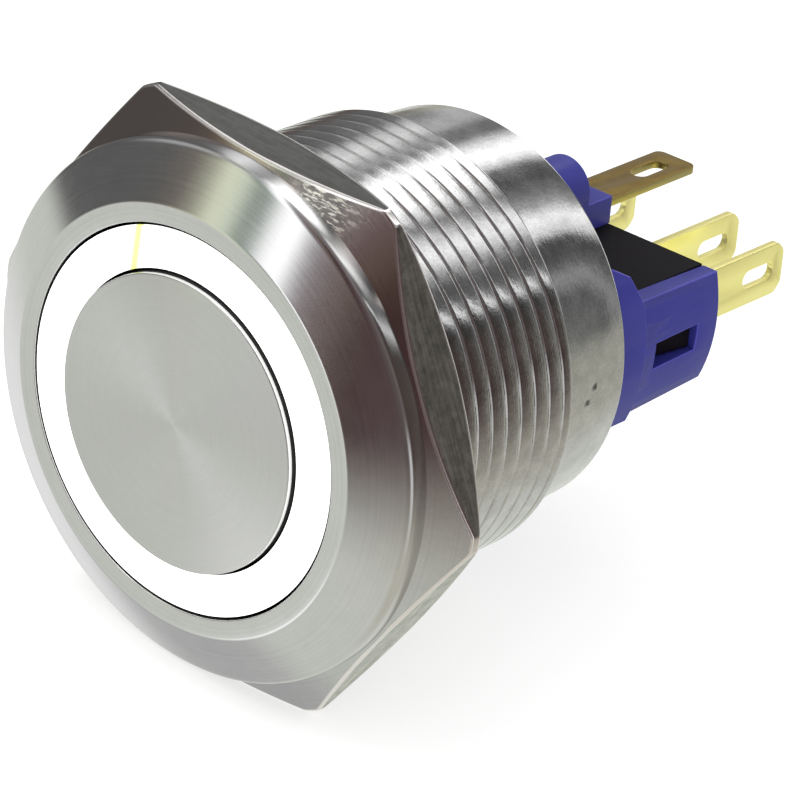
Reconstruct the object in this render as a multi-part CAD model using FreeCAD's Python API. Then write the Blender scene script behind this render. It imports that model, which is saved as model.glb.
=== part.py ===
import FreeCAD, Part
import math
import os

# Metal pushbutton switch for a 22 mm panel hole, with a lit ring around the button.
# All sizes are in millimetres.  The axis of the switch runs along Y: the button faces -Y and the
# solder lugs point to +Y.  The origin is the centre of the head's rear face, which seats on the
# panel.  +Z runs through the middle of a flat of the hexagonal head.

# Clearances
SLIDE_GAP = 0.08            # moving piece in its hole
SEAT_GAP = 0.05             # fixed piece in its seat
SPIGOT_GAP = 0.1            # pieces that slip into the barrel
STOP_GAP = 0.1              # left at the end of the button's travel
CONTACT_GAP = 0.05          # between contacts that meet

# Barrel
THREAD_R = 11.0             # crest radius of M22 x 1
THREAD_LENGTH = 9.6
RUNOUT_LENGTH = 0.5
BAND_FRONT_STEP = 0.73      # thread crest to the front of the smooth band
BAND_REAR_STEP = 1.0
BARREL_LENGTH = 14.65
BORE_WALL = 2.0             # thread crest to the bore
COUNTERBORE_WALL = 1.65
COUNTERBORE_DEPTH = 6.15

# Head
HEX_ACROSS_FLATS = 26.5
CORNER_CUT = 0.25           # turned off each corner of the hexagon
CORNER_ANGLE = 30.0         # chamfer of the corners, front and rear, from the face plane
NOSE_LENGTH = 0.46          # straight part of a turned corner
RIM_WIDTH = 0.95            # flat rim outside the ring's recess
RECESS_DEPTH = 2.5
BEVEL_INSET = 0.2           # outer edge of the conical bevel, inside the flats
BEVEL_ANGLE = 27.0          # from the face plane
BEVEL_ROUND = 0.5
WALL_LENGTH = 0.934         # turned wall behind the bevel
SEAT_INSET = 0.28           # edge of the panel face, inside the flats

# Lit ring and its gasket
RING_STEP = 0.3             # outer edge of the ring, outside the bore
RING_WIDTH = 2.0
RING_GAP = 0.15             # visible gap on both sides of the ring
RING_FLANGE = 2.2
RING_TAIL_REAR = 2.5
RING_SKIRT = 0.45           # wall that reaches back and holds the lamp board down

# Button and plunger
TRAVEL = 2.5
BUTTON_PROUD = 0.3
BUTTON_ROUND = 0.15
BUTTON_DEPTH = 3.8
BUTTON_FACE = 1.2
BUTTON_WALL = 0.85
SEAL_WIRE_R = 0.3
SEAL_SIDES = 6
SEAL_AT = 2.4               # button face to the middle of the seal
PLUNGER_HEAD = 3.2
STEM_INSET = 2.4            # stem inside the lamp board's hole
STEM_END = 6.9
FOOT_R = 1.0
FOOT_END = 13.2
FOOT_GROOVE_R = 0.75
FOOT_GROOVE = 0.5
FOOT_TIP = 0.2              # left beyond the groove
CLIP_WIDTH = 0.9            # clip outside the stem
CLIP_DEPTH = 0.5            # clip's groove in the stem
CLIP_THICK = 0.4

# Guide sleeve, return spring and lamp board
SLEEVE_FLOOR = 1.5
SLEEVE_REAR = 6.0
SLEEVE_TUBE_WALL = 0.9
SPRING_WIRE_R = 0.25
SPRING_WIRE_SIDES = 6
SPRING_TURNS = 5
SPRING_STEPS = 12           # straight runs in one turn
SPRING_END = 0.75           # turns that lie closed at each end
SPRING_END_GAP = 0.05
BOARD_THICK = 0.8
BOARD_WIDTH = 2.5
LAMP_COUNT = 4
LAMP_SIZE = (1.6, 0.8, 1.2)         # along the ring, axial, radial
RESISTOR_SIZE = (1.6, 0.45, 0.8)
WIRE_R = 0.3
WIRE_SIDES = 8

# Terminal base
BASE_TURN = 5.0             # degrees that the base sits round from the head's hexagon
BASE_REAR = 23.3
DISC_REAR = 13.8
POCKET_FRONT = 9.4
CLIP_WELL_GAP = 0.5
COLLAR_TOP = 4.65           # shoulders beside the case, level as far as the ramp
COLLAR_RAMP_Y = (15.4, 16.5)
COLLAR_RAMP_DROP = 0.6
COLLAR_REAR = 17.1
CHEEK_FRONT_STEP = 0.35     # side walls, inside the disc
CHEEK_REAR_STEP = 0.55
CHEEK_WALL = 1.2
CHEEK_RISE = (0.13, -0.06)  # edges of a side wall beyond the case, at its front and rear
WINDOW_Y = (18.4, 21.7)
WINDOW_HALF = 0.7
PAD_HALF = 1.6
PAD_RISE = 1.5              # pad of a lamp lug, above or below the case
BOSS_RISE = 2.0
BOSS_REAR = 21.5

# Contact case and its cover
CASE_Z = -0.55              # middle of the case, set down to leave room for the upper lamp lug
CASE_HALF_Z = 3.0
CASE_WALL = 0.65
CASE_REAR_WALL = 3.0
COVER_THICK = 0.8
HOOK_TOE = 0.5              # rise of the hook at its front
HOOK_RISE = 0.95
HOOK_MARGIN = 0.12          # hook to window edge

# Solder lugs
LUG_THICK = 0.4
LUG_WIDTH = 2.8
LUG_TIP = 31.35
LUG_CORNER = 0.5
SLOT_WIDTH = 0.95
SLOT_LENGTH = 2.4
SLOT_FROM_TIP = 0.8
CLOSED_LUG_INSET = 1.15     # inside the case's end
OPEN_LUG_STEP = 2.95        # inside the closed lug
COMMON_LUG_X = -3.2
CLOSED_LUG_Z = -0.35
OPEN_LUG_Z = 0.2
COMMON_LUG_Z = -0.3
LED_LUG_WIDTH = 2.5
LED_LUG_TIP = 30.45
LED_LUG_CORNER = 0.25
LED_SLOT_FROM_TIP = 1.1
LED_LUG_RISE = 0.85         # lamp lug's middle, above or below the case
LED_LUG_FRONT = 12.0

# Changeover contact
PIVOT_Y = 14.05
PIVOT_R = 0.2               # rounded end of the common lug, on which the blade rocks
BLADE_THICK = 0.25
BLADE_HALF = 1.6
BLADE_OVERHANG = 0.6        # beyond the pivot
BLADE_END = 0.8             # beyond the middle of its contact
BLADE_WINDOW_FRONT = -1.6
BLADE_WINDOW_STEP = 1.7     # window to the middle of the contact
BLADE_WINDOW_HALF = 1.15
BLADE_SWING = 0.2           # radians over the whole travel
CONTACT_STEP = 1.3          # contact's middle, inside the closed lug
CONTACT_R = 0.7
CONTACT_RISE = 0.4
SNAP_BOW = 0.55
SNAP_THICK = 0.12
SNAP_HALF = 0.5

# Places that follow from the sizes above
SLOPE = math.tan(math.radians(CORNER_ANGLE))
BORE_R = THREAD_R - BORE_WALL
COUNTERBORE_R = THREAD_R - COUNTERBORE_WALL
COUNTERBORE_FRONT = BARREL_LENGTH - COUNTERBORE_DEPTH
RING_R = BORE_R + RING_STEP
RECESS_R = RING_R + RING_GAP
RIM_R = RECESS_R + RIM_WIDTH
BEVEL_R = HEX_ACROSS_FLATS / 2 - BEVEL_INSET
SEAT_R = HEX_ACROSS_FLATS / 2 - SEAT_INSET
HEX_CORNER_R = HEX_ACROSS_FLATS / 2 / math.cos(math.pi / 6)
NOSE_R = HEX_CORNER_R - CORNER_CUT
NOSE_REAR = (SEAT_R - NOSE_R) * SLOPE
NOSE_FRONT = NOSE_REAR - NOSE_LENGTH
WALL_REAR = NOSE_FRONT - (NOSE_R - BEVEL_R) * SLOPE
BEVEL_REAR = WALL_REAR - WALL_LENGTH
FACE = BEVEL_REAR - (BEVEL_R - RIM_R) * math.tan(math.radians(BEVEL_ANGLE))
RECESS_REAR = FACE + RECESS_DEPTH
FLANGE_REAR = FACE + RING_FLANGE
RING_BORE_R = RING_R - RING_WIDTH
TAIL_R = BORE_R - SPIGOT_GAP
BUTTON_R = RING_BORE_R - RING_GAP
BUTTON_FRONT = FACE - BUTTON_PROUD
BUTTON_REAR = BUTTON_FRONT + BUTTON_DEPTH
CAVITY_FRONT = BUTTON_FRONT + BUTTON_FACE
HEAD_REAR = CAVITY_FRONT + PLUNGER_HEAD
SEAL_Y = BUTTON_FRONT + SEAL_AT
SEAL_R = RING_BORE_R - SEAT_GAP - SEAL_WIRE_R
BOARD_INNER_R = TAIL_R - BOARD_WIDTH
STEM_R = BOARD_INNER_R - STEM_INSET
SLEEVE_FLOOR_FRONT = SLEEVE_REAR - SLEEVE_FLOOR
SLEEVE_TUBE_FRONT = HEAD_REAR + TRAVEL + STOP_GAP
SLEEVE_BORE_R = STEM_R + SLIDE_GAP
SLEEVE_TUBE_R = SLEEVE_BORE_R + SLEEVE_TUBE_WALL
CLIP_FRONT = SLEEVE_REAR + SEAT_GAP
CLIP_REAR = CLIP_FRONT + CLIP_THICK
CLIP_BORE_R = STEM_R - CLIP_DEPTH
CLIP_R = STEM_R + CLIP_WIDTH
GROOVE_REAR = FOOT_END - FOOT_TIP
GROOVE_FRONT = GROOVE_REAR - FOOT_GROOVE
BOARD_FRONT = SLEEVE_FLOOR_FRONT - BOARD_THICK
LAMP_R = (BOARD_INNER_R + TAIL_R) / 2
BASE_R = COUNTERBORE_R - SEAT_GAP
CHEEK_FRONT_R = BASE_R - CHEEK_FRONT_STEP
CHEEK_REAR_R = BASE_R - CHEEK_REAR_STEP
POCKET_HALF_X = CHEEK_REAR_R - CHEEK_WALL
POCKET_HALF_Z = CASE_HALF_Z + SEAT_GAP
CASE_HALF_X = POCKET_HALF_X - SEAT_GAP
COVER_FRONT = POCKET_FRONT + STOP_GAP
CASE_FRONT = COVER_FRONT + COVER_THICK
CASE_CAVITY_REAR = BASE_REAR - CASE_REAR_WALL
CLOSED_LUG_X = CASE_HALF_X - CLOSED_LUG_INSET
OPEN_LUG_X = CLOSED_LUG_X - OPEN_LUG_STEP
CONTACT_X = CLOSED_LUG_X - CONTACT_STEP
BLADE_X = (COMMON_LUG_X - BLADE_OVERHANG, CONTACT_X + BLADE_END)
BLADE_WINDOW_X = (BLADE_WINDOW_FRONT, CONTACT_X - BLADE_WINDOW_STEP)
BLADE_REAR = PIVOT_Y - PIVOT_R
BLADE_FRONT = BLADE_REAR - BLADE_THICK
BLADE_CONTACT_FRONT = BLADE_FRONT - CONTACT_RISE
BLADE_CONTACT_REAR = BLADE_REAR + CONTACT_RISE
CLOSED_FACE = BLADE_CONTACT_FRONT - CONTACT_GAP


def v(x, y, z=0.0):
    return FreeCAD.Vector(x, y, z)


def rod(radius, front, rear, x=0.0, z=0.0):
    """Solid cylinder along the switch's axis."""
    return Part.makeCylinder(radius, rear - front, v(x, front, z), v(0, 1, 0))


def bar(x_pair, y_pair, z_pair):
    """Rectangular bar between three pairs of coordinates, each in any order."""
    low = [min(pair) for pair in (x_pair, y_pair, z_pair)]
    high = [max(pair) for pair in (x_pair, y_pair, z_pair)]
    size = [end - start for start, end in zip(low, high)]
    return Part.makeBox(size[0], size[1], size[2], v(low[0], low[1], low[2]))


def span(middle, width):
    return (middle - width / 2, middle + width / 2)


def flat(points, depth):
    """Prism from corner points in one plane, drawn out by the depth vector."""
    return Part.Face(Part.makePolygon(points + points[:1])).extrude(depth)


def turned(outline):
    """Solid turned about the switch's axis from (radius, y) points."""
    points = [v(radius, y) for radius, y in outline]
    face = Part.Face(Part.makePolygon(points + points[:1]))
    return face.revolve(v(0, 0), v(0, 1), 360)


def tube(inner, outer, front, rear):
    return turned([(inner, front), (outer, front), (outer, rear), (inner, rear)])


def joined(shapes):
    """One shape from touching or overlapping ones."""
    return shapes[0].multiFuse(shapes[1:]).removeSplitter()


def rounded(before, corner, after, radius, runs=2):
    """Points of a round at a corner of a (radius, y) outline, in a few straight runs."""
    back = (v(*before) - v(*corner)).normalize()
    ahead = (v(*after) - v(*corner)).normalize()
    half = back.getAngle(ahead) / 2
    sweep = math.pi - 2 * half
    middle = v(*corner) + (back + ahead).normalize() * (radius / math.sin(half))
    start = v(*corner) + back * (radius / math.tan(half)) - middle
    end = v(*corner) + ahead * (radius / math.tan(half)) - middle
    points = []
    for step in range(runs + 1):
        turn = sweep * step / runs
        spoke = (start * math.sin(sweep - turn) + end * math.sin(turn)) * (1 / math.sin(sweep))
        points.append((middle.x + spoke.x, middle.y + spoke.y))
    return points


def polygon_points(sides, radius):
    """Corners of a regular polygon, as (across, along) pairs."""
    angles = [2 * math.pi * k / sides for k in range(sides)]
    return [(radius * math.cos(a), radius * math.sin(a)) for a in angles]


def head_blank():
    """Turned shape of the head: flat rim, conical bevel, short wall and chamfered nose."""
    rim = (RIM_R, FACE)
    wall = (BEVEL_R, WALL_REAR)
    edge = rounded(rim, (BEVEL_R, BEVEL_REAR), wall, BEVEL_ROUND)
    return turned([(0, FACE), rim] + edge + [wall, (NOSE_R, NOSE_FRONT), (NOSE_R, NOSE_REAR),
                                             (SEAT_R, 0), (0, 0)])


def hexagon_bar():
    angles = [k * math.pi / 3 for k in range(6)]
    corners = [v(HEX_CORNER_R * math.cos(a), FACE, HEX_CORNER_R * math.sin(a)) for a in angles]
    return flat(corners, v(0, -FACE, 0))


def head_body():
    """One-piece metal head and threaded barrel, with the stepped bore for everything inside."""
    runout_rear = THREAD_LENGTH + RUNOUT_LENGTH
    barrel = turned([(0, 0), (THREAD_R, 0), (THREAD_R, THREAD_LENGTH),
                     (THREAD_R - BAND_FRONT_STEP, runout_rear),
                     (THREAD_R - BAND_REAR_STEP, BARREL_LENGTH), (0, BARREL_LENGTH)])
    bore = turned([(0, FACE), (RECESS_R, FACE), (RECESS_R, RECESS_REAR), (BORE_R, RECESS_REAR),
                   (BORE_R, COUNTERBORE_FRONT), (COUNTERBORE_R, COUNTERBORE_FRONT),
                   (COUNTERBORE_R, BARREL_LENGTH), (0, BARREL_LENGTH)])
    head = head_blank().common(hexagon_bar())
    return joined([head, barrel]).cut(bore)


def light_ring():
    """Clear ring with a flange in the head's recess and a tail down to the lamp board."""
    skirt_r = TAIL_R - RING_SKIRT
    skirt_rear = BOARD_FRONT - SEAT_GAP
    return turned([(RING_BORE_R, FACE), (RING_R, FACE), (RING_R, FLANGE_REAR), (TAIL_R, FLANGE_REAR),
                   (TAIL_R, skirt_rear), (skirt_r, skirt_rear), (skirt_r, RING_TAIL_REAR),
                   (RING_BORE_R, RING_TAIL_REAR)])


def ring_gasket():
    return tube(TAIL_R + SEAT_GAP, RECESS_R - SEAT_GAP, FLANGE_REAR, RECESS_REAR)


def button_cap():
    """Turned metal cap with a groove for its seal."""
    inner_r = BUTTON_R - BUTTON_WALL
    groove_r = SEAL_R - SEAL_WIRE_R
    groove = span(SEAL_Y, 2 * (SEAL_WIRE_R + SEAT_GAP))
    middle = (0, BUTTON_FRONT)
    side = (BUTTON_R, groove[0])
    edge = rounded(middle, (BUTTON_R, BUTTON_FRONT), side, BUTTON_ROUND)
    return turned([middle] + edge + [side, (groove_r, groove[0]), (groove_r, groove[1]),
                                     (BUTTON_R, groove[1]), (BUTTON_R, BUTTON_REAR),
                                     (inner_r, BUTTON_REAR), (inner_r, CAVITY_FRONT),
                                     (0, CAVITY_FRONT)])


def button_seal():
    section = polygon_points(SEAL_SIDES, SEAL_WIRE_R)
    return turned([(SEAL_R + across, SEAL_Y + along) for across, along in section])


def plunger():
    """Moulded head, stem and foot that carry the button's push to the contact."""
    head_r = BUTTON_R - BUTTON_WALL - SEAT_GAP
    return turned([(0, CAVITY_FRONT), (head_r, CAVITY_FRONT), (head_r, HEAD_REAR),
                   (STEM_R, HEAD_REAR), (STEM_R, CLIP_FRONT), (CLIP_BORE_R, CLIP_FRONT),
                   (CLIP_BORE_R, CLIP_REAR), (STEM_R, CLIP_REAR), (STEM_R, STEM_END),
                   (FOOT_R, STEM_END), (FOOT_R, GROOVE_FRONT), (FOOT_GROOVE_R, GROOVE_FRONT),
                   (FOOT_GROOVE_R, GROOVE_REAR), (FOOT_R, GROOVE_REAR), (FOOT_R, FOOT_END),
                   (0, FOOT_END)])


def stop_clip():
    """Open spring clip behind the sleeve that keeps the button from coming out."""
    mouth = 0.8 * CLIP_BORE_R
    clip = tube(CLIP_BORE_R, CLIP_R, CLIP_FRONT, CLIP_REAR)
    return clip.cut(bar((-mouth, mouth), (CLIP_FRONT, CLIP_REAR), (-CLIP_R, 0)))


def swept(section, points):
    """Solid from a closed section carried along a line of points, with mitred corners."""
    edge = Part.makePolygon(section + section[:1])
    return Part.makePolygon(points).makePipeShell([edge], True, False, 1)


def spring_height(turn):
    """Height of the spring's wire after this many turns; both end turns lie closed."""
    closed_pitch = 2 * SPRING_WIRE_R + SPRING_END_GAP
    height = SLEEVE_FLOOR_FRONT - HEAD_REAR - 2 * SPRING_WIRE_R
    open_turns = SPRING_TURNS - 2 * SPRING_END
    open_pitch = (height - 2 * SPRING_END * closed_pitch) / open_turns
    if turn < SPRING_END:
        return turn * closed_pitch
    if turn > SPRING_TURNS - SPRING_END:
        return height - (SPRING_TURNS - turn) * closed_pitch
    return SPRING_END * closed_pitch + (turn - SPRING_END) * open_pitch


def return_spring():
    """Coil spring around the sleeve's tube, under the plunger's head."""
    radius = (SLEEVE_TUBE_R + BOARD_INNER_R) / 2 - SPIGOT_GAP
    front = HEAD_REAR + SPRING_WIRE_R
    points = []
    for step in range(SPRING_TURNS * SPRING_STEPS + 1):
        turn = step / SPRING_STEPS
        angle = 2 * math.pi * turn
        height = front + spring_height(turn)
        points.append(v(radius * math.cos(angle), height, radius * math.sin(angle)))
    section = [points[0] + v(across, along)
               for across, along in polygon_points(SPRING_WIRE_SIDES, SPRING_WIRE_R)]
    return swept(section, points)


def wire_holes(front, rear):
    """Clearance for the two lamp wires."""
    radius = WIRE_R + SEAT_GAP
    return rod(radius, front, rear, 0, LAMP_R).fuse(rod(radius, front, rear, 0, -LAMP_R))


def guide_sleeve():
    sleeve = turned([(SLEEVE_BORE_R, SLEEVE_TUBE_FRONT), (SLEEVE_TUBE_R, SLEEVE_TUBE_FRONT),
                     (SLEEVE_TUBE_R, SLEEVE_FLOOR_FRONT), (TAIL_R, SLEEVE_FLOOR_FRONT),
                     (TAIL_R, SLEEVE_REAR), (SLEEVE_BORE_R, SLEEVE_REAR)])
    return sleeve.cut(wire_holes(SLEEVE_FLOOR_FRONT, SLEEVE_REAR))


def led_board():
    board = tube(BOARD_INNER_R, TAIL_R, BOARD_FRONT, SLEEVE_FLOOR_FRONT)
    return board.cut(wire_holes(BOARD_FRONT, SLEEVE_FLOOR_FRONT))


def board_chip(size, degrees):
    """A small part soldered to the front of the board, at this angle from +X toward +Z."""
    length, height, width = size
    chip = bar(span(LAMP_R, width), (BOARD_FRONT - height, BOARD_FRONT), span(0, length))
    chip.rotate(v(0, 0), v(0, 1), -degrees)
    return chip


def case_side(side):
    """Top (1) or bottom (-1) of the contact case."""
    return CASE_Z + side * CASE_HALF_Z


def beside_case(shape, front, rear):
    """What is left of a shape once the room between the two side walls is taken out."""
    return shape.cut(bar((-POCKET_HALF_X, POCKET_HALF_X), (front, rear), (-BASE_R, BASE_R)))


def collars():
    """Two shoulders beside the case, with a ramp on top; below they follow the side walls."""
    ramp_front, ramp_rear = COLLAR_RAMP_Y
    top = case_side(1) + CHEEK_RISE[0]
    low = case_side(-1) - CHEEK_RISE[0]
    side = flat([v(-BASE_R, DISC_REAR, low), v(-BASE_R, DISC_REAR, COLLAR_TOP),
                 v(-BASE_R, ramp_front, COLLAR_TOP), v(-BASE_R, ramp_rear, COLLAR_TOP - COLLAR_RAMP_DROP),
                 v(-BASE_R, COLLAR_REAR, top), v(-BASE_R, COLLAR_REAR, low)], v(2 * BASE_R, 0, 0))
    ring = rod(BASE_R, DISC_REAR, COLLAR_REAR)
    return beside_case(ring.common(side), DISC_REAR, COLLAR_REAR)


def cheeks():
    """Two side walls, round outside and slimmer toward the rear."""
    front_rise, rear_rise = CHEEK_RISE
    slab = flat([v(-BASE_R, COLLAR_REAR, case_side(1) + front_rise),
                 v(-BASE_R, BASE_REAR, case_side(1) + rear_rise),
                 v(-BASE_R, BASE_REAR, case_side(-1) - rear_rise),
                 v(-BASE_R, COLLAR_REAR, case_side(-1) - front_rise)], v(2 * BASE_R, 0, 0))
    cone = turned([(0, COLLAR_REAR), (CHEEK_FRONT_R, COLLAR_REAR), (CHEEK_REAR_R, BASE_REAR),
                   (0, BASE_REAR)])
    return beside_case(slab.common(cone), COLLAR_REAR, BASE_REAR)


def lamp_pad(side):
    """Pad and round boss around one lamp lug, above (1) or below (-1) the case."""
    root = case_side(side) + side * SEAT_GAP
    top = case_side(side) + side * PAD_RISE
    boss_z = case_side(side) + side * BOSS_RISE
    pad = bar((-PAD_HALF, PAD_HALF), (DISC_REAR, BASE_REAR), (root, top))
    neck = bar((-PAD_HALF, PAD_HALF), (DISC_REAR, BOSS_REAR), (top, boss_z))
    return joined([pad, neck, rod(PAD_HALF, DISC_REAR, BOSS_REAR, 0, boss_z)])


def led_lug_z(side):
    return case_side(side) + side * LED_LUG_RISE


def lamp_channel(side):
    """Slot for one lamp lug, and the way of its wire to the front."""
    hole_r = WIRE_R + SEAT_GAP
    elbow = (LED_LUG_FRONT - 2 * hole_r, LED_LUG_FRONT)
    slot = bar(span(0, LED_LUG_WIDTH + 2 * SEAT_GAP), (LED_LUG_FRONT, BASE_REAR),
               span(led_lug_z(side), LUG_THICK + 2 * SEAT_GAP))
    cross = bar(span(0, 2 * hole_r), elbow,
                (led_lug_z(side) - side * hole_r, side * (LAMP_R + hole_r)))
    return joined([slot, cross, rod(hole_r, SLEEVE_REAR, LED_LUG_FRONT, 0, side * LAMP_R)])


def terminal_base():
    """Moulding that closes the barrel, holds the contact case and carries the lamp lugs."""
    well_r = CLIP_R + CLIP_WELL_GAP
    spigot = turned([(well_r, SLEEVE_REAR), (TAIL_R, SLEEVE_REAR), (TAIL_R, COUNTERBORE_FRONT),
                     (BASE_R, COUNTERBORE_FRONT), (BASE_R, DISC_REAR), (0, DISC_REAR),
                     (0, POCKET_FRONT), (well_r, POCKET_FRONT)])
    pocket = bar((-POCKET_HALF_X, POCKET_HALF_X), (POCKET_FRONT, BASE_REAR),
                 span(CASE_Z, 2 * POCKET_HALF_Z))
    windows = bar((-BASE_R, BASE_R), WINDOW_Y, span(CASE_Z, 2 * WINDOW_HALF))
    base = joined([spigot, collars(), cheeks(), lamp_pad(1), lamp_pad(-1)])
    for hollow in (pocket, windows, lamp_channel(1), lamp_channel(-1)):
        base = base.cut(hollow)
    return base


def lug_slot(x, z):
    """Hole through the case's rear wall for one contact lug."""
    return bar(span(x, LUG_THICK + 2 * SEAT_GAP), (CASE_CAVITY_REAR, BASE_REAR),
               span(z, LUG_WIDTH + 2 * SEAT_GAP))


def case_hook(side):
    """Wedge on the case that snaps into the window of the base."""
    front = WINDOW_Y[0] + HOOK_MARGIN
    rear = WINDOW_Y[1] - HOOK_MARGIN
    half = WINDOW_HALF - HOOK_MARGIN
    low = CASE_Z - half
    root = side * CASE_HALF_X
    toe = side * (CASE_HALF_X + HOOK_TOE)
    tip = side * (CASE_HALF_X + HOOK_RISE)
    return flat([v(root, front, low), v(root, rear, low), v(tip, rear, low), v(toe, front, low)],
                v(0, 0, 2 * half))


def contact_case():
    """Insulating case that slides into the base from the rear, round the contact."""
    half_x = CASE_HALF_X - CASE_WALL
    block = bar((-CASE_HALF_X, CASE_HALF_X), (CASE_FRONT, BASE_REAR), span(CASE_Z, 2 * CASE_HALF_Z))
    case = joined([block, case_hook(1), case_hook(-1)])
    case = case.cut(bar((-half_x, half_x), (CASE_FRONT, CASE_CAVITY_REAR),
                        span(CASE_Z, 2 * (CASE_HALF_Z - CASE_WALL))))
    case = case.cut(lug_slot(CLOSED_LUG_X, CLOSED_LUG_Z))
    case = case.cut(lug_slot(OPEN_LUG_X, OPEN_LUG_Z))
    return case.cut(lug_slot(COMMON_LUG_X, COMMON_LUG_Z))


def contact_cover():
    """Lid at the front of the case, in which the plunger's foot slides."""
    lid = bar((-CASE_HALF_X, CASE_HALF_X), (COVER_FRONT, CASE_FRONT), span(CASE_Z, 2 * CASE_HALF_Z))
    return lid.cut(rod(FOOT_R + SLIDE_GAP, COVER_FRONT, CASE_FRONT))


def lug_strip(width, front, tip, clip, slot_from_tip):
    """Strip along Y with a slotted, clipped end, centred on the XY plane."""
    half = width / 2
    strip = flat([v(-half, front), v(half, front), v(half, tip - clip), v(half - clip, tip),
                  v(clip - half, tip), v(-half, tip - clip)], v(0, 0, LUG_THICK))
    slot_r = SLOT_WIDTH / 2
    first = tip - slot_from_tip - SLOT_LENGTH + slot_r
    last = tip - slot_from_tip - slot_r
    strip = strip.cut(bar((-slot_r, slot_r), (first, last), (0, LUG_THICK)))
    strip = strip.cut(Part.makeCylinder(slot_r, LUG_THICK, v(0, first)))
    strip = strip.cut(Part.makeCylinder(slot_r, LUG_THICK, v(0, last)))
    strip.translate(v(0, 0, -LUG_THICK / 2))
    return strip


def upright_lug(x, z, front):
    strip = lug_strip(LUG_WIDTH, front, LUG_TIP, LUG_CORNER, SLOT_FROM_TIP)
    strip.rotate(v(0, 0), v(0, 1), 90)
    strip.translate(v(x, 0, z))
    return strip


def lug_foot(x, z, front):
    """Bent inner end of a contact lug, reaching over its contact."""
    outward = math.copysign(1, x - CONTACT_X)
    reach = (x + outward * LUG_THICK / 2, CONTACT_X - outward * (CONTACT_R + SPIGOT_GAP))
    return bar(reach, (front, front + LUG_THICK), span(z, LUG_WIDTH))


def open_face():
    """Where the open lug's contact faces the blade's, once the blade has swung over."""
    arm = CONTACT_X - COMMON_LUG_X + CONTACT_R
    lift = BLADE_CONTACT_REAR - PIVOT_Y
    return PIVOT_Y + arm * math.sin(BLADE_SWING) + lift * math.cos(BLADE_SWING) + CONTACT_GAP


def lug_closed():
    front = CLOSED_FACE - CONTACT_RISE - LUG_THICK
    return joined([upright_lug(CLOSED_LUG_X, CLOSED_LUG_Z, front),
                   lug_foot(CLOSED_LUG_X, CLOSED_LUG_Z, front)])


def lug_open():
    front = open_face() + CONTACT_RISE
    return joined([upright_lug(OPEN_LUG_X, OPEN_LUG_Z, front),
                   lug_foot(OPEN_LUG_X, OPEN_LUG_Z, front)])


def lug_common():
    """Common lug, whose rounded end is the edge that the blade rocks on."""
    low = COMMON_LUG_Z - LUG_WIDTH / 2
    edge = Part.makeCylinder(PIVOT_R, LUG_WIDTH, v(COMMON_LUG_X, PIVOT_Y, low))
    return joined([upright_lug(COMMON_LUG_X, COMMON_LUG_Z, PIVOT_Y), edge])


def contact_blade():
    """Spring blade with a window for the plunger's foot and a hole for its contact."""
    blade_y = (BLADE_FRONT, BLADE_REAR)
    blade = bar(BLADE_X, blade_y, (-BLADE_HALF, BLADE_HALF))
    blade = blade.cut(bar(BLADE_WINDOW_X, blade_y, (-BLADE_WINDOW_HALF, BLADE_WINDOW_HALF)))
    return blade.cut(rod(CONTACT_R / 2, BLADE_FRONT, BLADE_REAR, CONTACT_X))


def tip_moving():
    """Rivet with a contact on both sides of the blade."""
    return joined([rod(CONTACT_R, BLADE_CONTACT_FRONT, BLADE_FRONT, CONTACT_X),
                   rod(CONTACT_R / 2, BLADE_FRONT, BLADE_REAR, CONTACT_X),
                   rod(CONTACT_R, BLADE_REAR, BLADE_CONTACT_REAR, CONTACT_X)])


def tip_closed():
    return rod(CONTACT_R, CLOSED_FACE - CONTACT_RISE, CLOSED_FACE, CONTACT_X)


def tip_open():
    return rod(CONTACT_R, open_face(), open_face() + CONTACT_RISE, CONTACT_X)


def snap_spring():
    """Bowed strip between the groove in the plunger's foot and the blade."""
    start = v(FOOT_GROOVE_R + SEAT_GAP, GROOVE_REAR - 1.5 * SNAP_THICK)
    end = v(BLADE_WINDOW_X[1] - SEAT_GAP, (BLADE_FRONT + BLADE_REAR - SNAP_THICK) / 2)
    middle = (start + end) * 0.5 + v(0, -SNAP_BOW)
    shift = v(0, SNAP_THICK)
    edges = [Part.Arc(start, middle, end).toShape(),
             Part.makeLine(end, end + shift),
             Part.Arc(end + shift, middle + shift, start + shift).toShape(),
             Part.makeLine(start + shift, start)]
    strip = Part.Face(Part.Wire(edges)).extrude(v(0, 0, 2 * SNAP_HALF))
    strip.translate(v(0, 0, -SNAP_HALF))
    return strip


def led_lug(side):
    strip = lug_strip(LED_LUG_WIDTH, LED_LUG_FRONT, LED_LUG_TIP, LED_LUG_CORNER, LED_SLOT_FROM_TIP)
    strip.translate(v(0, 0, led_lug_z(side)))
    return strip


def led_wire(side):
    """Bent wire from the inner end of one lamp lug to the board."""
    elbow_y = LED_LUG_FRONT - SEAT_GAP - WIRE_R
    front = v(0, BOARD_FRONT, side * LAMP_R)
    points = [front, v(0, elbow_y, side * LAMP_R), v(0, elbow_y, led_lug_z(side))]
    section = [front + v(across, 0, along) for across, along in polygon_points(WIRE_SIDES, WIRE_R)]
    return swept(section, points)


def save(name, shape):
    shape.exportStep("parts/" + name + ".step")


def save_turned(name, shape):
    """Saves a piece of the base, turned with it from +X toward +Z."""
    shape.rotate(v(0, 0), v(0, 1), -BASE_TURN)
    save(name, shape)


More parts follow.
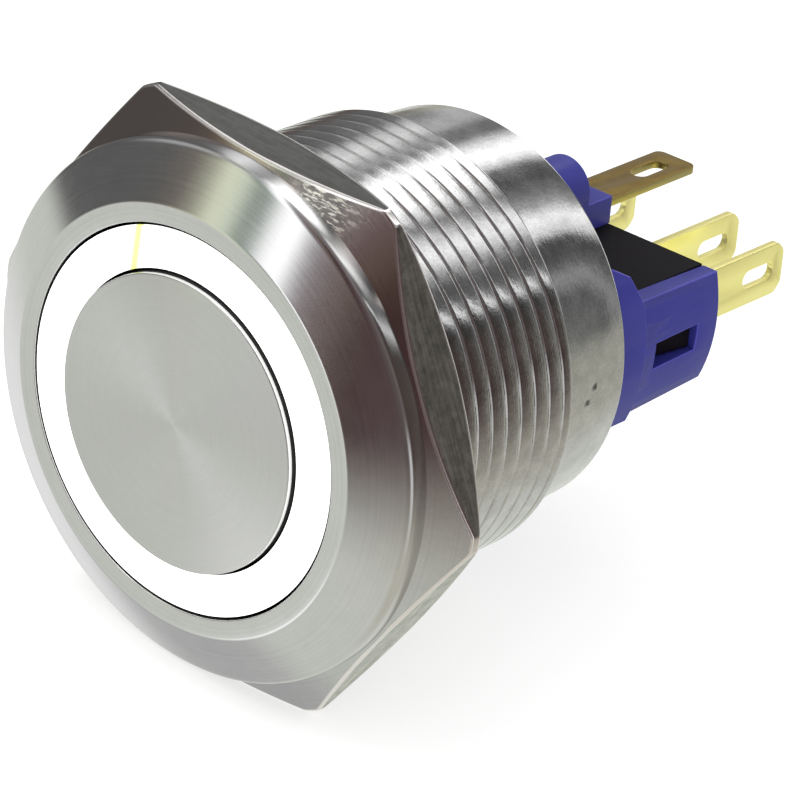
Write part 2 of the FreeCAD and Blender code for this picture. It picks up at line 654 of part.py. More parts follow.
def main():
    os.makedirs("parts", exist_ok=True)
    save("head_body", head_body())
    save("light_ring", light_ring())
    save("ring_gasket", ring_gasket())
    save("button_cap", button_cap())
    save("button_seal", button_seal())
    save("plunger", plunger())
    save("stop_clip", stop_clip())
    save("return_spring", return_spring())
    save_turned("guide_sleeve", guide_sleeve())
    save_turned("led_board", led_board())
    for number in range(LAMP_COUNT):
        lamp = board_chip(LAMP_SIZE, (number + 0.5) * 360 / LAMP_COUNT)
        save_turned("led_%d" % (number + 1), lamp)
    save_turned("board_resistor", board_chip(RESISTOR_SIZE, 0))
    save_turned("terminal_base", terminal_base())
    save_turned("contact_case", contact_case())
    save_turned("contact_cover", contact_cover())
    save_turned("lug_closed", lug_closed())
    save_turned("lug_open", lug_open())
    save_turned("lug_common", lug_common())
    save_turned("led_lug_plus", led_lug(1))
    save_turned("led_lug_minus", led_lug(-1))
    save_turned("led_wire_plus", led_wire(1))
    save_turned("led_wire_minus", led_wire(-1))
    save_turned("contact_blade", contact_blade())
    save_turned("tip_moving", tip_moving())
    save_turned("tip_closed", tip_closed())
    save_turned("tip_open", tip_open())
    save_turned("snap_spring", snap_spring())


main()
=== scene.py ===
# %% [markdown]
# # A metal pushbutton switch with a lit ring
# The switch has a head and barrel turned from one piece of steel, a lit ring round its button, and a
# blue moulding with solder lugs behind. The CAD model gives every size. This lesson adds what the eye
# looks for on top of it: eased edges, the ridges of the thread, tool marks, plastics, gilt and light.
# Lengths are written in millimetres, as on a drawing, and turned into metres where a mesh is made.

# %% Load the frame
import math
import bmesh
import bpy
from mathutils import Matrix, Vector


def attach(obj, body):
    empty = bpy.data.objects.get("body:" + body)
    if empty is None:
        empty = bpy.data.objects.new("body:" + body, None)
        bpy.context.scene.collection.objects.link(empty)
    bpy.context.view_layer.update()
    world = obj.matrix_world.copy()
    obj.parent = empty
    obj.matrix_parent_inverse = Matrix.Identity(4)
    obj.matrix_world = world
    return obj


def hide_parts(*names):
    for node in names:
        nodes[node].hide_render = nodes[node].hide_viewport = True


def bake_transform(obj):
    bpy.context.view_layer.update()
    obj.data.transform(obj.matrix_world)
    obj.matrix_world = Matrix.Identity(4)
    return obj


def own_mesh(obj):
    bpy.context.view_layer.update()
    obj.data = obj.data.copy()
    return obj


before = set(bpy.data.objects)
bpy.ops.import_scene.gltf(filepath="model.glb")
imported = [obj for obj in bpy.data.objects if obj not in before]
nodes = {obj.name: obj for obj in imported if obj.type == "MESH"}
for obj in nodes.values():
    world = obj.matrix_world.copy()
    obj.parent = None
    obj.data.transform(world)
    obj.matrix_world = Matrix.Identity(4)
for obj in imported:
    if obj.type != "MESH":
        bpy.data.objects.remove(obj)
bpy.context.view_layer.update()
MM = 0.001                                              # metres in a millimetre
print("CAD pieces:", len(nodes))

# %% [markdown]
# ## Sums on shader sockets
# A finish such as turned steel is a sum of noises. Math nodes placed by hand hide that sum, so a small
# class wraps a socket and lets Python's own signs add the nodes. Colours go through Mix nodes, because
# a Math node would turn them grey.

# %% A socket that takes part in sums
class Value:
    """An output socket of a shader node. Sums on it add Math nodes."""

    def __init__(self, finish, socket):
        self.finish = finish
        self.socket = socket

    def part(self, name):
        """Another output of the same node."""
        return Value(self.finish, self.socket.node.outputs[name])

    def __add__(self, other):
        return self.finish.maths("ADD", self, other)

    def __sub__(self, other):
        return self.finish.maths("SUBTRACT", self, other)

    def __rsub__(self, other):
        return self.finish.maths("SUBTRACT", other, self)

    def __mul__(self, other):
        return self.finish.maths("MULTIPLY", self, other)

    def __pow__(self, other):
        return self.finish.maths("POWER", self, other)

    def __abs__(self):
        return self.finish.maths("ABSOLUTE", self)

    __radd__ = __add__
    __rmul__ = __mul__


# %% A finish that grows by one node at a time
class Finish:
    """The node tree of a material or a world."""

    def __init__(self, owner):
        owner.use_nodes = True
        self.owner = owner
        self.tree = owner.node_tree

    def node(self, kind, settings=None, values=None, out=0):
        """Any node: its settings come first, then what its inputs hold or are linked to."""
        made = self.tree.nodes.new(kind)
        for name, setting in (settings or {}).items():
            if name == "stops":
                self.set_stops(made.color_ramp, setting)
            else:
                setattr(made, name, setting)
        for name, value in (values or {}).items():
            self.feed(made.inputs[name], value)
        return Value(self, made.outputs[out])

    def maths(self, operation, *terms):
        """A Math node on values and numbers."""
        return self.node("ShaderNodeMath", {"operation": operation}, dict(enumerate(terms)))

    def feed(self, socket, value):
        """Link a value to a socket, or set a constant on it."""
        if isinstance(value, Value):
            self.tree.links.new(value.socket, socket)
        else:
            socket.default_value = value

    def set_stops(self, ramp, stops):
        while len(ramp.elements) < len(stops):
            ramp.elements.new(1.0)
        for element, (place, colour) in zip(ramp.elements, stops):
            element.position = place
            element.color = colour

    def surface(self, values):
        """Feed the material's own shader; this is the last step of a finish."""
        shader = self.tree.nodes["Principled BSDF"]
        for name, value in values.items():
            self.feed(shader.inputs[name], value)
        return self.owner

    def rise(self, value, low, high):
        """0 below low, 1 above high, and smooth between."""
        return self.node("ShaderNodeMapRange", {"interpolation_type": "SMOOTHSTEP"},
                         {0: value, 1: low, 2: high, 3: 0.0, 4: 1.0})

    def mix(self, amount, first, second):
        """The first colour where the amount is 0, the second where it is 1."""
        return self.node("ShaderNodeMix", {"data_type": "RGBA"}, {0: amount, 6: first, 7: second}, 2)

    def place(self):
        """The object's own coordinates, in millimetres."""
        spot = self.node("ShaderNodeTexCoord", out="Object")
        return self.node("ShaderNodeVectorMath", {"operation": "SCALE"}, {0: spot, "Scale": 1 / MM})

    def stretched(self, place, scale):
        """The place, so that a noise over it is drawn out this many times along each axis."""
        return self.node("ShaderNodeMapping", {"vector_type": "TEXTURE"},
                         {"Vector": place, "Scale": scale})

    def distance(self, place, point):
        """How far the place lies from a point."""
        return self.node("ShaderNodeVectorMath", {"operation": "DISTANCE"},
                         {0: place, 1: point}, "Value")

    def axes(self, place):
        split = self.node("ShaderNodeSeparateXYZ", None, {0: place})
        return split.part("X"), split.part("Y"), split.part("Z")

    def cloud(self, place, scale, detail=3.0, rough=0.55):
        """Soft noise between 0 and 1 over a place in space."""
        return self.node("ShaderNodeTexNoise", None,
                         {"Vector": place, "Scale": scale, "Detail": detail, "Roughness": rough})

    def lines(self, along, scale, detail=2.0):
        """Noise that changes along one value only, such as tool marks along a radius."""
        return self.node("ShaderNodeTexNoise", {"noise_dimensions": "1D"},
                         {"W": along, "Scale": scale, "Detail": detail, "Roughness": 0.6})

    def relief(self, height, depth):
        """A bump of this depth in mm where the height is 1."""
        return self.node("ShaderNodeBump", None,
                         {"Height": height, "Distance": depth * MM, "Strength": 1.0})


# %% Two helpers for finishes
def new_finish(name):
    print("finish:", name)
    return Finish(bpy.data.materials.new(name))


def grey(level):
    return (level, level, level, 1.0)


# %% [markdown]
# ## Turned skins
# The head, ring and button come off a lathe, so each is a profile carried round the axis. A real edge
# is never razor sharp: a tool or a tumble leaves a tiny round that catches a line of light. A Screw
# and a Bevel modifier could do it, but a profile that rounds its own corners gives each corner its own
# ease, and the same rows of points also make the hexagon, the thread and the spring.

# %% Profiles with eased corners
def eased(outline, parts=4):
    """(radius, y, ease) points in mm as a line whose corners are rounded off by their ease."""
    line = []
    for index, (radius, y, ease) in enumerate(outline):
        corner = Vector((radius, y))
        if not ease:
            line.append(corner)
            continue
        before = Vector(outline[index - 1][:2]) - corner
        after = Vector(outline[index + 1][:2]) - corner
        start = corner + before.normalized() * min(ease, before.length * 0.49)
        end = corner + after.normalized() * min(ease, after.length * 0.49)
        for step in range(parts + 1):
            t = step / parts
            line.append(start * (1 - t) ** 2 + corner * 2 * t * (1 - t) + end * t ** 2)
    return line


# %% Rows of points into a piece
# The piece's own Z lies along the switch's Y, and its own -Y points up.
AXIS_TURN = Matrix.Rotation(-math.pi / 2, 4, "X")


def row_of(radii, heights, angles):
    """Points round the axis in metres, from a radius and a height in mm at each angle."""
    return [(r * math.cos(a) * MM, y * MM, r * math.sin(a) * MM)
            for r, y, a in zip(radii, heights, angles)]


def skin(name, rows, finishes, paint=None, crease=32):
    """A smooth mesh over rows of points that each close on themselves, front row first."""
    count = len(rows[0])
    faces = []
    for row in range(len(rows) - 1):
        for column in range(count):
            beside = (column + 1) % count
            faces.append((row * count + column, (row + 1) * count + column,
                          (row + 1) * count + beside, row * count + beside))
    mesh = bpy.data.meshes.new(name)
    mesh.from_pydata([point for row in rows for point in row], [], faces)
    for finish in finishes:
        mesh.materials.append(finish)
    for face in mesh.polygons:
        face.use_smooth = True
        face.material_index = paint(face.index // count, face.index % count) if paint else 0
    tidy = bmesh.new()
    tidy.from_mesh(mesh)
    bmesh.ops.remove_doubles(tidy, verts=tidy.verts, dist=1e-7)
    tidy.to_mesh(mesh)
    tidy.free()
    mesh.set_sharp_from_angle(angle=math.radians(crease))
    mesh.transform(AXIS_TURN.inverted())
    piece = bpy.data.objects.new(name, mesh)
    piece.matrix_world = AXIS_TURN
    bpy.context.collection.objects.link(piece)
    print(name, "faces:", len(mesh.polygons))
    return piece


def turned(name, outline, finishes, paint=None, columns=360):
    """An outline of (radius, y, ease) points carried round the axis."""
    angles = [2 * math.pi * k / columns for k in range(columns)]
    line = eased(outline)
    rows = [row_of([p.x] * columns, [p.y] * columns, angles) for p in line]
    return skin(name, rows, finishes, paint)


def settle(piece, body, slot, *stands_for):
    """The piece rides its body and hides the CAD nodes that it stands for; its slot is not used."""
    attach(piece, body)
    if stands_for:
        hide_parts(*stands_for)


# %% [markdown]
# ## Turned steel
# A lathe leaves fine circles. They blur a reflection across the circles and leave it sharp along
# them, which draws bright fans on a turned face. The shader's anisotropy does that, turned a quarter
# so that the blur runs along the radius. Noise along the radius adds the circles that one can see.
# Next to no light gets into the gaps between the pieces, so their walls get painted shade: a near-black
# finish.

# %% Turned steel
def turned_steel(name, level, roughness, marks, depth):
    """Steel with tool marks; marks is how many per mm, depth their height in mm."""
    finish = new_finish(name)
    place = finish.place()
    x, y, z = finish.axes(place)
    radius = (x * x + y * y) ** 0.5
    along = radius + z * 0.83
    fine = finish.lines(along, marks, 3.0)
    broad = finish.lines(along, marks * 0.22, 1.0)
    blotch = finish.cloud(place, 1.1, 4.0, 0.65)
    light = finish.mix(fine * 0.5 + blotch * 0.5, grey(level * 0.86), grey(level * 1.08))
    rough = roughness * 0.72 + (fine * 0.5 + blotch * 0.6) * (roughness * 0.5)
    return finish.surface({
        "Base Color": light, "Metallic": 1.0, "Roughness": rough,
        "Anisotropic": 0.72, "Anisotropic Rotation": 0.25,
        "Normal": finish.relief(fine * 0.7 + broad * 0.5, depth)})


rim_steel = turned_steel("turned_steel", 0.63, 0.17, 4.5, 0.0009)
button_steel = turned_steel("brushed_button_steel", 0.62, 0.33, 5.5, 0.0022)


# %% Dark gaps
def shadowed(name):
    """Painted shade for steel or plastic deep in a gap, where next to no light gets in."""
    finish = new_finish(name)
    dust = finish.cloud(finish.place(), 1.5, 3.0)
    return finish.surface({
        "Base Color": finish.mix(dust, grey(0.012), grey(0.03)), "Roughness": 0.55 + dust * 0.1,
        "Specular IOR Level": 0.1})


# painted shade for the walls deep in the gaps
gap_shade = shadowed("painted_gap_shade")

# %% [markdown]
# ## Rim and bevel
# Seen from the front, the head is a flat rim round the ring, a conical bevel and a short wall. A
# modifier could ease a CAD copy, but its triangles would show in a mirror-like cone. A fresh profile
# of 360 columns keeps the reflection clean, and its sizes repeat the CAD's.

# %% Rim and bevel
FACE = -5.1             # height of the flat rim, in front of the panel's plane
RECESS_R = 9.45         # radius of the recess that holds the ring
RIM_R = 10.4            # radius where the bevel begins
WALL_R = 13.05          # radius of the short wall behind the bevel
BEVEL_REAR = -3.75
WALL_REAR = -2.815
head_front = turned("head_rim_and_bevel", [
    (RECESS_R, -2.6, 0), (RECESS_R, FACE + 0.1, 0), (RECESS_R, FACE, 0.05), (RIM_R, FACE, 0.09),
    (WALL_R, BEVEL_REAR, 0.3), (WALL_R, WALL_REAR, 0)], [rim_steel, gap_shade],
    lambda row, column: 1 if row == 0 else 0)           # the first row is the recess's wall, in painted shade
settle(head_front, "housing", "steel", "head_body")

# %% [markdown]
# ## The hexagon
# A hexagonal bar was chamfered on the lathe, so a cone meets six milled flats in curved edges. Every
# row of this skin follows the bar's outline: the radius at an angle is the flat's distance over the
# cosine, held back by the turned nose, with a soft minimum so that the corner edge isn't sharp.

# %% The bar's outline
FLAT = 13.25            # from the axis to a flat
NOSE_R = 15.05          # radius to which the corners are turned down
SEAT_R = 12.97          # radius where the rear cone meets the seat on the panel
SLOPE = math.tan(math.radians(30))
CORNER_EASE = 0.12
CORNER_BLEND = 0.05     # how softly a flat runs into the nose
SIXTH = math.radians(60)


def bar_radius(angle):
    """Distance from the axis to the bar's side at this angle."""
    excess = FLAT / math.cos(angle % SIXTH - SIXTH / 2) - NOSE_R
    return NOSE_R + (excess - math.sqrt(excess ** 2 + CORNER_BLEND ** 2)) / 2


def bar_angles():
    """Columns a degree apart on the flats and six times closer at the corners."""
    angles = []
    for side in range(6):
        degrees = -30.0
        while degrees < 29.99:
            angles.append(math.radians(30 + 60 * side + degrees))
            degrees += 1 / 6 if abs(degrees + 1 / 12) >= 27 else 1.0
    return angles


# %% Rows of the hexagon
def between(start, end, parts):
    return [start + (end - start) * k / parts for k in range(parts + 1)]


def hexagon_column(angle):
    """Profile of the hexagon at one angle: cone, flat and rear cone, with eased edges."""
    radius = bar_radius(angle)
    front = WALL_REAR + (radius - WALL_R) * SLOPE
    rear = -(radius - SEAT_R) * SLOPE
    ease = min(CORNER_EASE, (radius - WALL_R) * 0.45)
    line = [Vector((r, WALL_REAR + (r - WALL_R) * SLOPE)) for r in between(WALL_R, radius - ease, 6)]
    line += eased([(WALL_R - 1, WALL_REAR - SLOPE, 0), (radius, front, ease), (radius, 1.0, 0)])[1:-1]
    line += [Vector((radius, y)) for y in between(front + ease * 1.2, rear - ease * 1.2, 8)]
    line += eased([(radius, -9.0, 0), (radius, rear, ease), (SEAT_R - 1, SLOPE, 0)])[1:-1]
    line += [Vector((r, -(r - SEAT_R) * SLOPE)) for r in between(radius - ease, SEAT_R, 5)]
    return line + [Vector((seat, 0.0)) for seat in (12.8, 11.9, 10.7)]


# %% [markdown]
# ## Milled flats and chamfer
# A milling cutter leaves streaks round each flat and the chamfer keeps the coarse circles of its
# turning. An image of real steel would repeat and smear, so both are noises that change in one
# direction only. The flat on top lies in shade, painted as a darker base, and the chamfer gets painted
# shade that turns it darker and browner toward the top. Near one corner the chamfer is scratched:
# slanted strokes of a stretched noise, bare metal between dark ones. The edges between are rubbed
# bright and carry a painted highlight, which makes the hexagon's outline readable against a pale
# background.

# %% Milled flats
def milled_steel():
    finish = new_finish("milled_steel")
    place = finish.place()
    streak = finish.cloud(finish.stretched(place, (9.0, 9.0, 0.55)), 3.0, 4.0, 0.6)
    blotch = finish.cloud(place, 1.6, 5.0, 0.75)
    mark = streak * 0.5 + blotch * 0.5
    light = finish.mix(finish.rise(mark, 0.35, 0.65), (0.27, 0.28, 0.25, 1.0), (0.60, 0.60, 0.56, 1.0))
    x, y, z = finish.axes(place)
    # painted shade: the flat on top lies in shade, so its base is made much darker
    top_flat_shade = finish.rise(y * -1, 12.4, 13.0)
    light = finish.mix(top_flat_shade * 0.82, light, grey(0.05))
    return finish.surface({
        "Base Color": light, "Metallic": 1.0, "Roughness": 0.26 + mark * 0.12,
        "Anisotropic": 0.5, "Anisotropic Rotation": 0.25,
        "Normal": finish.relief(mark, 0.006)})


# %% Chamfer and edges
def chamfered_steel():
    finish = new_finish("chamfered_steel")
    place = finish.place()
    x, y, z = finish.axes(place)
    radius = (x * x + y * y) ** 0.5
    circles = finish.lines(radius + z * 0.5, 6.0, 2.0)
    blotch = finish.cloud(place, 1.3, 4.0, 0.7)
    # painted shade: the chamfer's base turns darker and browner toward the top (its own -Y is up)
    shade_above = finish.rise(y * -1, -2.0, 8.0)
    light = finish.mix(shade_above, grey(0.62), (0.48, 0.40, 0.37, 1.0))
    light = finish.mix((blotch * 0.6 + circles * 0.4) * 0.5, light, grey(0.30))
    from_corner = finish.distance(place, (4.5, -12.7, -2.4))
    scratched = finish.rise(from_corner + blotch * 2.0, 3.4, 1.8)
    stroke = finish.cloud(finish.stretched(place, (4.0, 1.0, 1.0)), 5.0, 3.0, 0.7)
    strokes = finish.mix(finish.rise(stroke, 0.48, 0.62), grey(0.10), (0.70, 0.70, 0.62, 1.0))
    light = finish.mix(scratched * 0.8, light, strokes)
    return finish.surface({
        "Base Color": light, "Metallic": 1.0, "Roughness": 0.12 + blotch * 0.08 + scratched * 0.1,
        "Anisotropic": 0.6, "Anisotropic Rotation": 0.25,
        "Normal": finish.relief(circles * 0.4 + blotch * 0.8, 0.006)})


def rubbed_edge_highlight():
    finish = new_finish("rubbed_steel_edge_highlight")
    # partly real rubbing, partly a painted highlight: the edge steel is brighter than the rest
    rub = finish.cloud(finish.place(), 2.0, 4.0, 0.7)
    return finish.surface({
        "Base Color": finish.mix(rub, (0.72, 0.68, 0.67, 1.0), (0.92, 0.88, 0.87, 1.0)), "Metallic": 1.0,
        "Roughness": 0.1 + rub * 0.12, "Normal": finish.relief(rub, 0.006)})


# %% The hexagon as a piece
round_bar = bar_angles()
columns = [hexagon_column(angle) for angle in round_bar]
hexagon_rows = [row_of([c[k].x for c in columns], [c[k].y for c in columns], round_bar)
                for k in range(len(columns[0]))]
# From the front, the first six rows of faces are the cone, and the rows from 25 on the rear cone.
EDGE_ROWS = (*range(6, 12), *range(20, 25))
FLAT_ROWS = range(12, 20)


def hexagon_finish(row, column):
    """0 for the cones, 1 for the flats, 2 for the edges between: rubbed steel with a painted highlight.
    """
    on_nose = FLAT / math.cos(round_bar[column] % SIXTH - SIXTH / 2) > NOSE_R
    if row in EDGE_ROWS or (row in FLAT_ROWS and on_nose):
        return 2
    return 1 if row in FLAT_ROWS else 0


hexagon = skin("head_hexagon", hexagon_rows, [chamfered_steel(), milled_steel(), rubbed_edge_highlight()],
               hexagon_finish)
settle(hexagon, "housing", "steel", "head_body")

# %% [markdown]
# ## The thread
# The barrel carries nine ridges of a fine thread with flat, worn crests and narrow grooves. A screw
# modifier would need trimming at both ends. Moving each point of a fine cylinder inward by a groove
# that follows the helix is simpler, and the groove fades out at the head and at the run-out.

# %% Ridges of the thread
PITCH = 1.0
CREST_R = 11.0
THREAD_END = 9.6
CROWN = 0.008           # how far a crest falls off toward its grooves
GROOVE = 0.06           # depth of the visible groove
GROOVE_WIDTH = 0.055    # its half width, as a share of the pitch


def fade(value, start, end):
    """0 up to start, 1 from end on, and smooth between."""
    t = min(max((value - start) / (end - start), 0.0), 1.0)
    return t * t * (3 - 2 * t)


def thread_radius(y, angle):
    """Radius of the thread at this height and angle; the helix is right-handed."""
    turns = y / PITCH + angle / (2 * math.pi)
    from_groove = abs(turns - round(turns))
    crown = CROWN * (1 - 2 * from_groove) ** 2
    groove = GROOVE * math.exp(-(from_groove / GROOVE_WIDTH) ** 2)
    keep = fade(y, 0.0, 0.5) * (1 - fade(y, 9.25, THREAD_END))
    return CREST_R - (crown + groove) * keep


# %% [markdown]
# ## Steel of the barrel
# The thread and the smooth band behind it are bright but uneven, as wiped and handled steel is. A
# slow noise lifts the surface by a few thousandths of a millimetre, which is enough to bend the
# highlights, and fine circles cross it. Two small dents in the band are found by their distance from
# a point; a bump sinks them and painted shade darkens them. Modelling them would need a mesh fine
# enough for the dents all the way round.

# %% Barrel steel
def barrel_steel():
    finish = new_finish("barrel_steel")
    place = finish.place()
    x, y, z = finish.axes(place)
    circles = finish.lines(z, 9.0, 2.0)
    blotch = finish.cloud(place, 0.9, 5.0, 0.7)
    grain = finish.cloud(place, 9.0, 2.0, 0.6)
    light = finish.mix(finish.rise(blotch * 0.7 + grain * 0.3, 0.3, 0.7), grey(0.44), grey(0.62))
    nearest = finish.maths("MINIMUM", finish.distance(place, (10.08, -1.18, 12.22)),
                           finish.distance(place, (10.16, -0.50, 11.78)))
    # the dents are sunk by the bump, and painted shade darkens them
    dent_and_shade = finish.rise(nearest + blotch * 0.3, 0.42, 0.24)
    return finish.surface({
        "Base Color": finish.mix(dent_and_shade * 0.8, light, grey(0.06)), "Metallic": 1.0,
        "Roughness": 0.05 + blotch * 0.11, "Anisotropic": 0.3, "Anisotropic Rotation": 0.25,
        "Normal": finish.relief(circles * 0.16 + blotch + grain * 0.1 - dent_and_shade * 3.0, 0.008)})


# %% The barrel as a piece
BARREL_COLUMNS = 240
THREAD_ROWS = 296
ROW_STEP = 0.032        # about 31 rows to a ridge, so that its groove stays smooth
BARREL_REAR = 14.65
BORE_R = 9.35
barrel_angles = [2 * math.pi * k / BARREL_COLUMNS for k in range(BARREL_COLUMNS)]
barrel_rows = []
for step in range(THREAD_ROWS):
    height = step * ROW_STEP
    barrel_rows.append(row_of([thread_radius(height, a) for a in barrel_angles],
                              [height] * BARREL_COLUMNS, barrel_angles))
for point in eased([(CREST_R, 9.3, 0), (CREST_R, THREAD_END, 0.08), (10.27, 10.1, 0.1), (10.25, 10.5, 0),
                    (10.12, 12.6, 0), (10.0, BARREL_REAR, 0.14), (BORE_R, BARREL_REAR, 0.08),
                    (BORE_R, 8.6, 0)])[1:]:
    barrel_rows.append(row_of([point.x] * BARREL_COLUMNS, [point.y] * BARREL_COLUMNS, barrel_angles))
barrel = skin("threaded_barrel", barrel_rows, [barrel_steel()], crease=50)
settle(barrel, "housing", "steel", "head_body")

# %% [markdown]
# ## The lit ring
# Milky plastic spreads the light of four lamps until it looks evenly white. Light through real milk
# glass needs many bounces, so the ring glows by itself instead, a little less where its depth varies.
# Near the top on the left, a narrow streak is yellow-green, where a lamp's own colour comes through.

# %% Lit ring
def lit_plastic():
    finish = new_finish("lit_ring_plastic")
    place = finish.place()
    haze = finish.cloud(place, 0.5, 2.0)
    glow = finish.mix(haze, (1.0, 1.0, 0.98, 1.0), (0.98, 1.0, 0.96, 1.0))
    x, y, z = finish.axes(place)
    streak = finish.rise(abs(x + 3.9), 0.36, 0.10) * finish.rise(y * -1, 3.0, 5.0) * 0.85
    return finish.surface({
        "Base Color": finish.mix(streak, grey(0.9), (0.5, 0.55, 0.1, 1.0)),
        "Roughness": 0.22 + haze * 0.1,
        "Emission Color": finish.mix(streak, glow, (0.52, 0.60, 0.02, 1.0)),
        "Emission Strength": 1.25})


# %% Ring as a piece
RING_IN = 7.3
RING_OUT = 9.3
SKIRT_OUT = 8.9         # the skirt behind the lens passes through the head
SKIRT_IN = 8.45
ring = turned("ring_lens", [
    (RING_IN, 2.5, 0), (RING_IN, FACE + 0.15, 0), (RING_IN, FACE, 0.08), (RING_OUT, FACE, 0.08),
    (RING_OUT, FACE + 0.15, 0), (RING_OUT, -2.9, 0), (SKIRT_OUT, -2.9, 0), (SKIRT_OUT, 3.65, 0),
    (SKIRT_IN, 3.65, 0), (SKIRT_IN, 2.5, 0), (RING_IN, 2.5, 0)],
    # the rows beside and behind the lit front lie deep in the gaps and get painted shade
    [lit_plastic(), gap_shade], lambda row, column: 0 if 1 <= row <= 11 else 1)
settle(ring, "housing", "ring_plastic", "light_ring")

# %% [markdown]
# ## The button
# The button is a turned cap that stands a little proud of the ring. Its face shows faint fans of
# light, which come from the same anisotropy. The groove in its side takes a seal. It is a profile
# again, so that its eased rim is as clean as the head's, and it rides on the body that is pressed.

# %% Button
BUTTON_FACE = -5.4
BUTTON_R = 7.15
SEAL_GROOVE_R = 6.65
HOLLOW_R = 6.3
button = turned("button_face", [
    (0.0, BUTTON_FACE, 0), (1.0, BUTTON_FACE, 0), (4.0, BUTTON_FACE, 0),
    (BUTTON_R, BUTTON_FACE, 0.06), (BUTTON_R, -5.18, 0), (BUTTON_R, -3.35, 0),
    (SEAL_GROOVE_R, -3.35, 0), (SEAL_GROOVE_R, -2.65, 0), (BUTTON_R, -2.65, 0), (BUTTON_R, -1.6, 0.1),
    (HOLLOW_R, -1.6, 0), (HOLLOW_R, -4.2, 0), (0.0, -4.2, 0)], [button_steel, gap_shade],
    lambda row, column: 1 if row == 8 else 0)           # row 8 is the side wall in the ring's gap, in painted shade
settle(button, "button", "steel", "button_cap")

# %% [markdown]
# ## Moulded plastics
# Injection-moulded plastic is satin, with faint flow marks and a skin that is never quite even. A
# slow noise shifts the colour and the roughness a little, and a fine one gives the skin its grain.

# %% Moulded plastic
def moulding(name, dark, light, roughness, shine=0.5):
    """Plastic between two colours; shine is how strongly it reflects."""
    finish = new_finish(name)
    place = finish.place()
    slow = finish.cloud(place, 0.35, 3.0)
    fine = finish.cloud(place, 4.0, 2.0)
    return finish.surface({
        "Base Color": finish.mix(slow * 0.75 + fine * 0.25, dark, light),
        "Roughness": roughness - 0.06 + slow * 0.08 + fine * 0.06, "Specular IOR Level": shine,
        "Normal": finish.relief(fine * 0.6 + slow, 0.006)})


blue = moulding("blue_moulding", (0.022, 0.025, 0.20, 1.0), (0.042, 0.042, 0.27, 1.0), 0.45, 0.2)
# painted highlight: a lighter blue for the eased edges
blue_edge_highlight = moulding("blue_moulding_edge_highlight", (0.05, 0.045, 0.34, 1.0), (0.08, 0.07, 0.45, 1.0), 0.4, 0.3)
black = moulding("black_moulding", (0.003, 0.003, 0.004, 1.0), (0.008, 0.006, 0.010, 1.0), 0.55, 0.05)
white = moulding("white_moulding", (0.72, 0.72, 0.68, 1.0), (0.82, 0.82, 0.79, 1.0), 0.5)
rubber = moulding("seal_rubber", (0.012, 0.012, 0.012, 1.0), (0.03, 0.03, 0.03, 1.0), 0.7)

# %% [markdown]
# ## CAD copies with eased edges
# The base, the case and the lugs have the right form in the CAD, so their meshes are copied. Merging
# the flat triangles leaves clean faces, and a bevel then eases each edge as a mould or a press does.
# A Bevel modifier would also widen the inner corners and leave spikes at them, so the edges that
# point outward are picked first and only those are eased.

# %% A copy with eased edges
CREASE = math.radians(35)


def copy_of(node, name, ease, finishes, rounds=(), behind=-100.0):
    """A new piece from a CAD node's mesh. The last finish is for the eased edges, which lie behind
    this y; rounds are (edge test, width, steps) for larger rounds."""
    shape = bmesh.new()
    shape.from_mesh(nodes[node].data)
    bmesh.ops.remove_doubles(shape, verts=shape.verts, dist=2e-6)
    bmesh.ops.dissolve_limit(shape, angle_limit=math.radians(1), verts=shape.verts, edges=shape.edges)
    for test, width, steps in rounds:
        chosen = [edge for edge in shape.edges if test(*[v.co / MM for v in edge.verts])]
        bmesh.ops.bevel(shape, geom=chosen, offset=width * MM, segments=steps, profile=0.5,
                        affect="EDGES", clamp_overlap=True)
    for face in shape.faces:
        face.smooth = True
        face.material_index = 0
    sharp = [edge for edge in shape.edges if edge.is_manifold and edge.is_convex
             and edge.calc_face_angle() > CREASE and min(v.co.y for v in edge.verts) / MM > behind]
    bmesh.ops.bevel(shape, geom=sharp, offset=ease * MM, segments=3, profile=0.5, affect="EDGES",
                    clamp_overlap=True, material=len(finishes) - 1)
    mesh = bpy.data.meshes.new(name)
    shape.to_mesh(mesh)
    shape.free()
    for finish in finishes:
        mesh.materials.append(finish)
    mesh.set_sharp_from_angle(angle=CREASE)
    piece = bpy.data.objects.new(name, mesh)
    bpy.context.collection.objects.link(piece)
    print(name, "faces:", len(mesh.polygons))
    return piece


# %% [markdown]
# ## Base and case
# The blue base closes the barrel and carries two side walls, and the black case sits between them.
# The base could be eased all over, but in front its collar lies inside the barrel, so only the edges
# behind the barrel's rear are. Those get a lighter blue as a painted highlight.

# %% Base and case
base = copy_of("terminal_base", "blue_terminal_base", 0.16, [blue, blue_edge_highlight], behind=14.6)
settle(base, "housing", "blue_plastic", "terminal_base")
case = copy_of("contact_case", "black_contact_case", 0.1, [black])
settle(case, "housing", "black_plastic", "contact_case")

# %% [markdown]
# ## Gilt lugs
# The lugs are stamped from brass and thinly gilt, the same gold all over. The faces of the upright
# ones shine yellow and their edges get a browner painted shade; the flat ones get painted shade on
# their faces and a painted highlight on their edges. Two materials by face would need a pick for each
# lug, so one finish finds the edges by the direction of the surface. A faint glow of the face's own
# colour is painted light, for the light that the pale surroundings throw on it.

